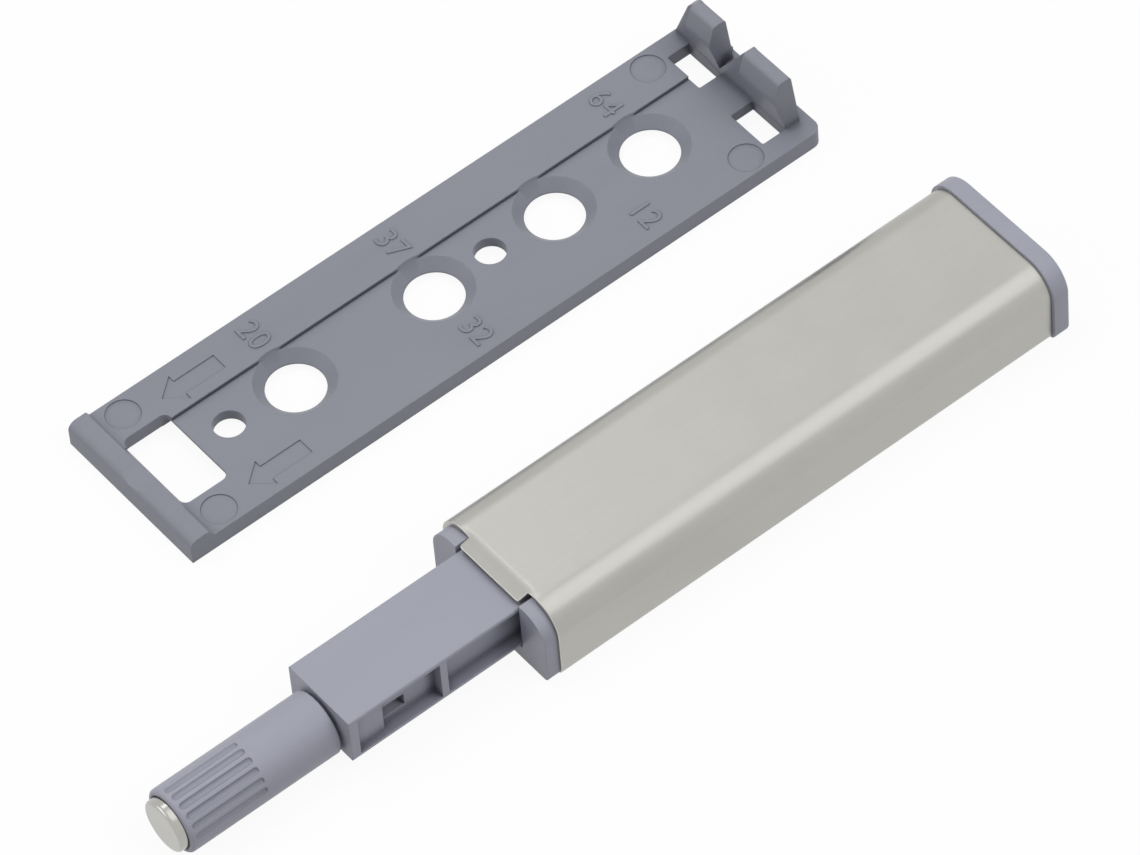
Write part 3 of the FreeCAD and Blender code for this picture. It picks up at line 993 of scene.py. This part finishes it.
    def _hook(self, low: float, flank: Outline) -> Workpiece:
        """A hook with a nose over its slot and a sloped back.

        Args:
            low: Where it begins across the plate.
            flank: The slope beside it, from where the hook ends, as places across the plate with
                their heights above its face.

        Returns:
            The hook.
        """
        front, top = self.hook_front + 2 * HAIR, self.thick + self.hook_height
        back, root = front + self.hook_foot, self.thick - PAST
        high, end = flank[0][0], flank[-1][0]
        nose, throat = self.nose_heights
        side = ((front, root), (back, root), (back, self.thick), (front + self.ridge[1], top),
                (front + self.ridge[0], top), (front - self.nose, self.thick + nose),
                (front, self.thick + throat))
        hook = Workpiece.profile("hook", Axis.Y, side, low, high)
        hook.round_edges(self.ridge_round, 4, lambda a, b: abs(a.y - b.y) > 2
                         and min(a.z, b.z) > top - HAIR)
        hook.round_edges(self.nose_round, 5, lambda a, b: abs(a.y - b.y) > 2
                         and max(a.x, b.x) < self.hook_front - self.nose + 0.05)
        slope = [(y, self.thick + rise) for y, rise in flank]
        hook.weld(Workpiece.profile(
            "flank", Axis.X, [(high - 0.2, root), (high - 0.2, top), *slope, (end, root)], front,
            self.hook_front + self.hook_foot - HAIR))
        hook.carve(self._behind())
        return hook

    def _behind(self) -> Workpiece:
        """A cutter along the sloped back of a hook, which also takes its ridge's rear edge.

        Returns:
            The cutter.
        """
        foot = self.hook_front + self.hook_foot
        ridge = self.hook_front + 2 * HAIR + self.ridge[1]
        top, cut, out = self.thick + self.hook_height, self.ridge_cut, self.half + PAST
        lean = (foot - ridge) / self.hook_height
        return Workpiece.profile("behind", Axis.Y, (
            (foot, self.thick), (ridge + lean * cut, top - cut), (ridge - cut, top),
            (ridge - cut - PAST, top + PAST), (foot + PAST, top + PAST), (foot + PAST, self.thick)),
            -out, out)

    def _sill(self) -> Workpiece:
        """The low wall that joins the hooks at the back.

        Returns:
            The sill.
        """
        back = self.hook_front + self.hook_foot - 3 * HAIR
        low, high = self.sill_sides
        sill = Workpiece.block("sill", (back - self.sill_depth, low, self.thick - PAST),
                               (back, high, self.thick + self.sill_height))
        sill.round_edges(self.sill_round, 3, lambda a, b: min(a.z, b.z) > self.thick
                         and abs(a.y - b.y) > 1)
        return sill

    def _arrows(self) -> list[Workpiece]:
        """Cutters for the shallow arrows.

        Returns:
            The cutters.
        """
        tip, neck, tail, wide, slim = self.arrow
        places = [(0, y, self._face(y)) for y in self.arrows]
        _, y, floor = places[0]
        arrow = Workpiece.profile("arrow", Axis.Z, (
            (tip, y), (neck, y + wide), (neck, y + slim), (tail, y + slim), (tail, y - slim),
            (neck, y - slim), (neck, y - wide)), floor - self.mark_depth, floor + PAST)
        return arrow.repeat(places)

    def _pins(self) -> list[Workpiece]:
        """Cutters for the round marks of the mould's ejector pins.

        Returns:
            The cutters.
        """
        depth, pin = self.mark_depth, self.pin
        cutters = []
        for x, y, rise, flat in self.pins:
            floor = self._face(y)
            cutters.append(Workpiece.turned("ejector", Axis.Z, (x, y, 0), (
                (floor - rise * depth, flat * pin), (floor - rise * depth, (flat + 0.01) * pin),
                (floor - 0.9 * depth, 0.8 * pin), (floor - depth, pin), (floor + PAST, pin))))
        return cutters

    def _figures(self) -> list[Workpiece]:
        """The hole distances in raised figures, beside the holes."""
        return [Workpiece.lettering("figures", words, self.figure_size, self.figure_rise,
                                    (x, y, self._face(y)), self.figure_turn)
                for words, x, y in self.figures]


@dataclass
class SteelCover:
    """Bent sheet channel with its set-down front tab."""

    front: float = -30.55
    rear: float = 30.0
    half: float = 8.65
    top: float = 8.8
    corner: float = 3.2
    fold: float = 0.9
    sheet: float = 0.6
    reach: float = 2.15
    tab_half: float = 4.35
    tab_reach: float = 1.25
    tab_round: float = 0.3
    tab_drop: float = 0.5
    tab_slope: float = 0.75
    crease: float = 0.3

    def build(self, finish: Material) -> None:
        """Models the cover and dresses it.

        Args:
            finish: Its material.
        """
        cover = Workpiece.block("cover", (self.front, -self.half, 0),
                                (self.rear, self.half, self.top))
        cover.drop_faces(lambda m, n: abs(n.x) > 0.9)
        cover.round_edges(self.corner, 14, lambda a, b: min(a.z, b.z) > self.top - HAIR
                          and abs(a.x - b.x) > 1)
        cover.round_edges(self.fold, 6, lambda a, b: max(a.z, b.z) < HAIR and abs(a.x - b.x) > 1)
        inner = self.half - self.reach
        for y in (-inner, inner):
            cover.slice(y, Axis.Y, lambda m, n: n.z < -0.9)
        cover.drop_faces(lambda m, n: n.z < -0.9 and abs(m.y) < inner)
        for y in (-self.tab_half, self.tab_half):
            cover.slice(y, Axis.Y, lambda m, n: n.z > 0.9)
        self._tab(cover)
        cover.smooth(28)
        cover.modify("SOLIDIFY", thickness=self.sheet * MM, offset=-1.0, use_even_offset=True)
        cover.smooth(28)
        cover.finish(finish, "cover_steel", Body.HOUSING, "steel_cover")

    def _tab(self, cover: Workpiece) -> None:
        """Draws the tab out of the front edge and sets it down over a soft crease.

        Args:
            cover: The open channel.
        """
        bend = self.front + self.tab_slope
        with cover.editing():
            cover.pick(Part.EDGE, lambda a, b: max(a.x, b.x) < self.front + HAIR
                       and min(a.z, b.z) > self.top - HAIR
                       and max(abs(a.y), abs(b.y)) < self.tab_half + HAIR)
            bpy.ops.mesh.extrude_region_move(
                TRANSFORM_OT_translate={"value": (-self.tab_reach * MM, 0, -self.tab_drop * MM)})
            cover.pick(Part.POINT, lambda p, _: p.x < self.front - 0.5 * self.tab_reach)
            bpy.ops.mesh.bevel(offset=self.tab_round * MM, segments=4, affect="VERTICES")
        for x in (bend - self.crease, bend, bend + self.crease):
            cover.slice(x, Axis.X, lambda m, n: n.z > 0.8 and abs(m.y) < self.half)
        total = self.tab_slope + self.tab_reach
        near = self.tab_drop * self.tab_slope / total
        with cover.editing():
            cover.pick(Part.POINT, lambda p, _: abs(p.x - self.front) < HAIR
                       and abs(p.y) < self.tab_half + HAIR and p.z > self.top - 0.3)
            bpy.ops.transform.translate(value=(0, 0, -near * MM))


@dataclass
class RearCap:
    """Moulded end cap, a little proud of the cover, with pockets for the plate's hooks."""

    front: float = 30.0
    rear: float = 32.0
    half: float = 9.0
    top: float = 9.15
    corner: float = 3.55
    low: float = 0.9
    rim: float = 0.42
    plug: tuple[float, ...] = (27.0, 5.9, 7.7, 1.75, 5.75)  # end, sides, heights
    pockets: tuple[Pair, ...] = ((2.4, 6.4), (-7.5, -1.7))  # sides
    pocket_depth: float = 1.35
    pocket_heights: Triple = (0.3, 4.6, 7.2)  # floor, bend, roof
    seat: float = 0.91
    seat_height: float = 4.9
    seat_depth: float = 1.3
    soft: float = 0.25

    def build(self, finish: Material) -> None:
        """Models the cap and dresses it.

        Args:
            finish: Its material.
        """
        cap = Workpiece.block("cap", (self.front, -self.half, 0), (self.rear, self.half, self.top))
        cap.round_edges(self.corner, 14, lambda a, b: min(a.z, b.z) > self.top - HAIR
                        and abs(a.x - b.x) > 1)
        cap.round_edges(self.low, 6, lambda a, b: max(a.z, b.z) < HAIR and abs(a.x - b.x) > 1)
        cap.round_edges(self.rim, 5, lambda a, b: min(a.x, b.x) > self.rear - 0.001)
        cap.carve(*self._pockets())
        cap.carve(Workpiece.turned("seat", Axis.X, (0, 0, self.seat_height), (
            (self.front - PAST, self.seat), (self.front + self.seat_depth, self.seat)), 32))
        start, inner, outer, floor, roof = self.plug
        for low, high in ((-outer, -inner), (inner, outer)):
            plug = Workpiece.block("plug", (start, low, floor), (self.front + 0.3, high, roof))
            plug.round_edges(self.soft, 3, lambda a, b: max(a.x, b.x) < start + HAIR)
            cap.weld(plug)
        cap.smooth(30)
        cap.finish(finish, "housing_plastic", Body.HOUSING, "rear_cap")

    def _pockets(self) -> list[Workpiece]:
        """Cutters for the wedge-shaped pockets in the rear.

        Returns:
            The cutters.
        """
        floor, bend, roof = self.pocket_heights
        past, deep = self.rear + PAST, self.rear - self.pocket_depth
        outline = ((past, floor), (self.rear, floor), (deep, bend), (deep, roof), (past, roof))
        cutters = []
        for low, high in self.pockets:
            pocket = Workpiece.profile("pocket", Axis.Y, outline, low, high)
            pocket.round_edges(self.soft, 3, lambda a, b: abs(a.y - b.y) < 0.1
                               and max(a.x, b.x) < self.rear + 0.5)
            cutters.append(pocket)
        return cutters


def rounded(start: float, radius: float, size: float) -> list[Pair]:
    """Stations of a turned body's rounded rim.

    Args:
        start: The place of the body's end face.
        radius: The body's radius.
        size: The rounding's radius.

    Returns:
        Places along the axis with the radius at each, from the face to the full radius.
    """
    angles = [math.pi / 2 * i / 6 for i in range(7)]
    return [(start + size * (1 - math.cos(a)), radius - size * (1 - math.sin(a))) for a in angles]


@dataclass
class Tip:
    """Adjustable tip: fluted head, plain stem, and the round magnet in its end."""

    back: float = -52.35
    front: float = -69.7
    height: float = 3.8
    radius: float = 3.45
    rim: float = 0.42
    seat: float = 2.85
    seat_depth: float = 3.0
    back_edge: float = 0.12
    stem: float = 1.45
    stem_end: float = -40.35
    stem_edge: float = 0.3
    flutes: int = 6
    pitch: float = 19.0
    centre: float = 58.0
    flute: float = 0.42
    bite: float = 0.26
    flute_start: float = 0.4
    flute_length: float = 8.5
    flute_ease: float = 0.45
    magnet: float = 2.8
    proud: float = 0.9
    magnet_end: float = -66.75
    magnet_edge: float = 0.34

    def build(self, plastic: Material, metal: Material) -> None:
        """Models the tip and its magnet and dresses them."""
        self._head(plastic)
        self._magnet(metal)

    def _head(self, finish: Material) -> None:
        """Models the head with its rim, flutes and magnet seat, and the stem.

        Args:
            finish: Its material.
        """
        rim = rounded(self.front, self.radius, self.rim)
        back = [(self.back - self.back_edge, self.radius),
                (self.back, self.radius - self.back_edge), (self.back, self.stem),
                (self.stem_end - self.stem_edge, self.stem),
                (self.stem_end, self.stem - self.stem_edge)]
        head = Workpiece.turned("tip", Axis.X, (0, 0, self.height), rim + back, 96)
        seat = Workpiece.turned("seat", Axis.X, (0, 0, self.height), (
            (self.front - PAST, self.seat + 0.1), (self.front + 0.1, self.seat + 0.1),
            (self.front + 0.2, self.seat), (self.front + self.seat_depth, self.seat)), 72)
        head.carve(seat)
        reach = self.radius + self.flute - self.bite
        first = self.front + self.flute_start
        last, ease = first + self.flute_length, self.flute_ease
        shape = ((first - 0.1, 0.05), (first + ease * 0.5, 0.8 * self.flute),
                 (first + ease, self.flute), (last - ease, self.flute),
                 (last - ease * 0.4, 0.85 * self.flute), (last, 0.1))
        middle = (self.flutes - 1) / 2
        turns = [math.radians(self.centre + (index - middle) * self.pitch + side)
                 for side in (0, 180) for index in range(self.flutes)]
        places = [(0, -reach * math.cos(a), self.height + reach * math.sin(a)) for a in turns]
        head.carve(*Workpiece.turned("flute", Axis.X, places[0], shape, 20).repeat(places))
        head.smooth(34)
        head.finish(finish, "housing_plastic", Body.TIP, "tip_rod")

    def _magnet(self, finish: Material) -> None:
        """Models the magnet, with a soft rim and a face that is a shade hollow.

        Args:
            finish: Its material.
        """
        face, edge = self.front - self.proud, self.magnet_edge
        hollow = [(face + 0.03, 0.4), (face + 0.012, 1.3), (face, self.magnet - edge - 0.1)]
        stations = [*hollow, *rounded(face, self.magnet, edge), (self.magnet_end, self.magnet)]
        magnet = Workpiece.turned("magnet", Axis.X, (0, 0, self.height), stations, 72)
        magnet.smooth(34)
        magnet.finish(finish, "magnet_nickel", Body.MAGNET, "tip_magnet")


@dataclass
class ReturnSpring:
    """Long return spring between the slider's bore and the cap."""

    start: float = -34.3
    end: float = 29.8
    height: float = 4.9
    radius: float = 1.4
    wire: float = 0.175
    turns: int = 26
    pushed: float = 0.41

    def build(self, finish: Material) -> None:
        """Winds the wire and dresses the spring.

        Args:
            finish: Its material.
        """
        Workpiece.clear()
        bpy.ops.mesh.primitive_circle_add(vertices=8, radius=self.wire * MM, fill_type="NOTHING",
                                          location=(self.radius * MM, 0, 0),
                                          rotation=(math.pi / 2, 0, 0))
        spring = Workpiece(bpy.context.active_object, "spring")
        length = self.end - self.start - 2 * self.wire
        spring.modify("SCREW", axis="Z", angle=2 * math.pi, steps=20, render_steps=20,
                      screw_offset=length / self.turns * MM, iterations=self.turns)
        spring.obj.rotation_euler = (0, math.pi / 2, 0)
        spring.settle()
        spring.move((self.start + self.wire, 0, self.height))
        with spring.editing():
            bpy.ops.mesh.select_mode(type="EDGE")
            bpy.ops.mesh.select_non_manifold()
            bpy.ops.mesh.edge_face_add()
        spring.smooth(60)
        spring.finish(finish, "spring_steel", Body.HOUSING, "main_spring")
        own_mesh(spring.obj)


@dataclass(frozen=True)
class Lamp:
    """A square lamp that looks at the middle of the object, sized and placed in metres."""

    name: str
    place: Triple
    size: float
    power: float
    mirrored: bool

    def build(self) -> None:
        """Makes the lamp; polished pieces show it only if it is mirrored."""
        data = bpy.data.lights.new(self.name, "AREA")
        data.shape = "SQUARE"
        data.size = self.size
        data.energy = self.power
        lamp = bpy.data.objects.new(self.name, data)
        bpy.context.scene.collection.objects.link(lamp)
        lamp.location = self.place
        lamp.visible_glossy = self.mirrored
        lamp.rotation_euler = Vector(self.place).to_track_quat("Z", "Y").to_euler()


@dataclass
class Studio:
    """Camera at the photograph's angle, pale floor, soft lamps and an even surround."""

    target: Triple = (-11.364, 13.844, 0.0)
    azimuth: float = -34.873
    elevation: float = 51.422
    roll: float = -5.442
    distance: float = 812.885
    lens: float = 269.28
    floor_size: float = 6000.0
    floor_drop: float = 0.05
    floor_glow: float = 0.93
    paper_seen: tuple[float, ...] = (0.95, 0.95, 0.95, 1.0)
    paper_unseen: tuple[float, ...] = (0.45, 0.45, 0.46, 1.0)
    surround: float = 0.31
    lamps: tuple[Lamp, ...] = (Lamp("left", (-1.1, 0.6, 0.6), 0.9, 2.8, True),
                               Lamp("above", (-0.2, 0.35, 1.3), 0.8, 6.1, False),
                               Lamp("right", (0.4, -0.8, 1.0), 0.6, 3.6, False),
                               Lamp("behind", (0.27, 0.75, 1.13), 0.3, 0.52, True),
                               Lamp("overhead", (0.486, -0.297, 1.223), 1.2, 2.8, True))

    def build(self) -> None:
        """Makes the camera, the floor, the lamps and the world."""
        self._camera()
        self._floor()
        for lamp in self.lamps:
            lamp.build()
        self._world()
        bpy.context.scene.view_settings.view_transform = "Standard"

    def _camera(self) -> None:
        """Places the camera."""
        turn, rise, roll = (math.radians(v) for v in (self.azimuth, self.elevation, self.roll))
        back = Vector((math.sin(turn) * math.cos(rise), -math.cos(turn) * math.cos(rise),
                       math.sin(rise)))
        right = (-back).cross(Vector((0, 0, 1))).normalized()
        up = right.cross(-back)
        right, up = (math.cos(roll) * right + math.sin(roll) * up,
                     math.cos(roll) * up - math.sin(roll) * right)
        data = bpy.data.cameras.new("photo_camera")
        data.lens = self.lens
        data.sensor_width = 36.0
        data.sensor_fit = "HORIZONTAL"
        data.clip_start, data.clip_end = 0.01, 20.0
        camera = bpy.data.objects.new("photo_camera", data)
        bpy.context.scene.collection.objects.link(camera)
        place = (Vector(self.target) + back * self.distance) * MM
        facing = Matrix((right, up, back)).transposed().to_4x4()
        camera.matrix_world = Matrix.Translation(place) @ facing
        bpy.context.scene.camera = camera

    def _floor(self) -> None:
        """A white floor that keeps the soft shadow of the object."""
        Workpiece.clear()
        bpy.ops.mesh.primitive_plane_add(size=self.floor_size * MM,
                                         location=(0, 0, -self.floor_drop * MM))
        floor = bpy.context.active_object
        floor.name = "floor"
        made = bpy.data.materials.new("floor_paper")
        made.use_nodes = True
        build = Nodes(made.node_tree)
        seen = build.seen()
        colour = build.blend(seen, self.paper_unseen, self.paper_seen)
        paper = build.feed(made.node_tree.nodes["Principled BSDF"], Base_Color=colour,
                           Roughness=0.9, Specular_IOR_Level=0.1)
        glow = build.feed(build.add("Emission"), Color=WHITE, Strength=1.0)
        mixed = build.feed(build.add("MixShader"), i0=build.math("MULTIPLY", seen, self.floor_glow),
                           i1=paper.outputs[0], i2=glow.outputs[0])
        build.feed(made.node_tree.nodes["Material Output"], Surface=mixed.outputs[0])
        floor.data.materials.append(made)

    def _world(self) -> None:
        """An even pale surround, white where the camera or a mirror sees it."""
        world = bpy.data.worlds.new("studio")
        bpy.context.scene.world = world
        world.use_nodes = True
        build = Nodes(world.node_tree)
        strength = build.remap(build.seen(), 0.0, 1.0, self.surround, 1.0)
        build.feed(world.node_tree.nodes["Background"], Color=WHITE, Strength=strength)


class Finishes:
    """All finishes of the latch, built once."""

    def __init__(self) -> None:
        """Builds the shared effects and the materials."""
        effects = Effects()
        self.plate = Plastic(
            name="plate_grey", colour=(141, 143, 154), shade=(134, 136, 147),
            edge_highlight_and_wear_colour=(163, 165, 175), painted_shade_colour=(78, 80, 92), reach=0.0012).build(effects)
        self.housing = Plastic(
            name="housing_grey", colour=(165, 166, 179), shade=(158, 160, 173),
            edge_highlight_and_wear_colour=(192, 193, 204), painted_shade_colour=(88, 89, 103), reach=0.0013,
            roughness=0.42).build(effects)
        self.cover = Steel(
            name="cover_steel", colour=(179, 178, 173), shade=(173, 172, 167),
            edge_highlight_and_wear_colour=(216, 215, 210), edge=0.0002, relief=0.0000015).build(effects)
        self.magnet = Steel(
            name="magnet_nickel", colour=(182, 181, 176), shade=(172, 171, 166),
            edge_highlight_and_wear_colour=(222, 220, 214), roughness=0.2, spread=(0.05, 0.05),
            lines=900.0).build(effects)
        self.spring = Steel(
            name="spring_wire", colour=(170, 170, 172), shade=(140, 140, 143),
            edge_highlight_and_wear_colour=(220, 220, 222), roughness=0.25).build(effects)


def dress(node: str, finish: Material) -> None:
    """Gives a CAD node its finish.

    Args:
        node: The node's name.
        finish: Its material.
    """
    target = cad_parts[node]
    if not target.material_slots:
        target.data.materials.append(finish)
    for holder in target.material_slots:
        holder.material = finish
    log.info("%s: CAD shape kept, %s", node, finish.name)


def main() -> None:
    """Builds every piece in order."""
    logging.basicConfig(level=logging.INFO, format="%(name)s %(message)s")
    finishes = Finishes()
    MountingPlate().build(finishes.plate)
    SteelCover().build(finishes.cover)
    RearCap().build(finishes.housing)
    Tip().build(finishes.housing, finishes.magnet)
    ReturnSpring().build(finishes.spring)
    dress("housing_tray", finishes.housing)
    dress("slider", finishes.housing)
    for node in ("spring_pin", "cam_follower", "follower_spring"):
        dress(node, finishes.spring)
    Studio().build()
    Workpiece.clear()


if __name__ == "__main__":
    main()
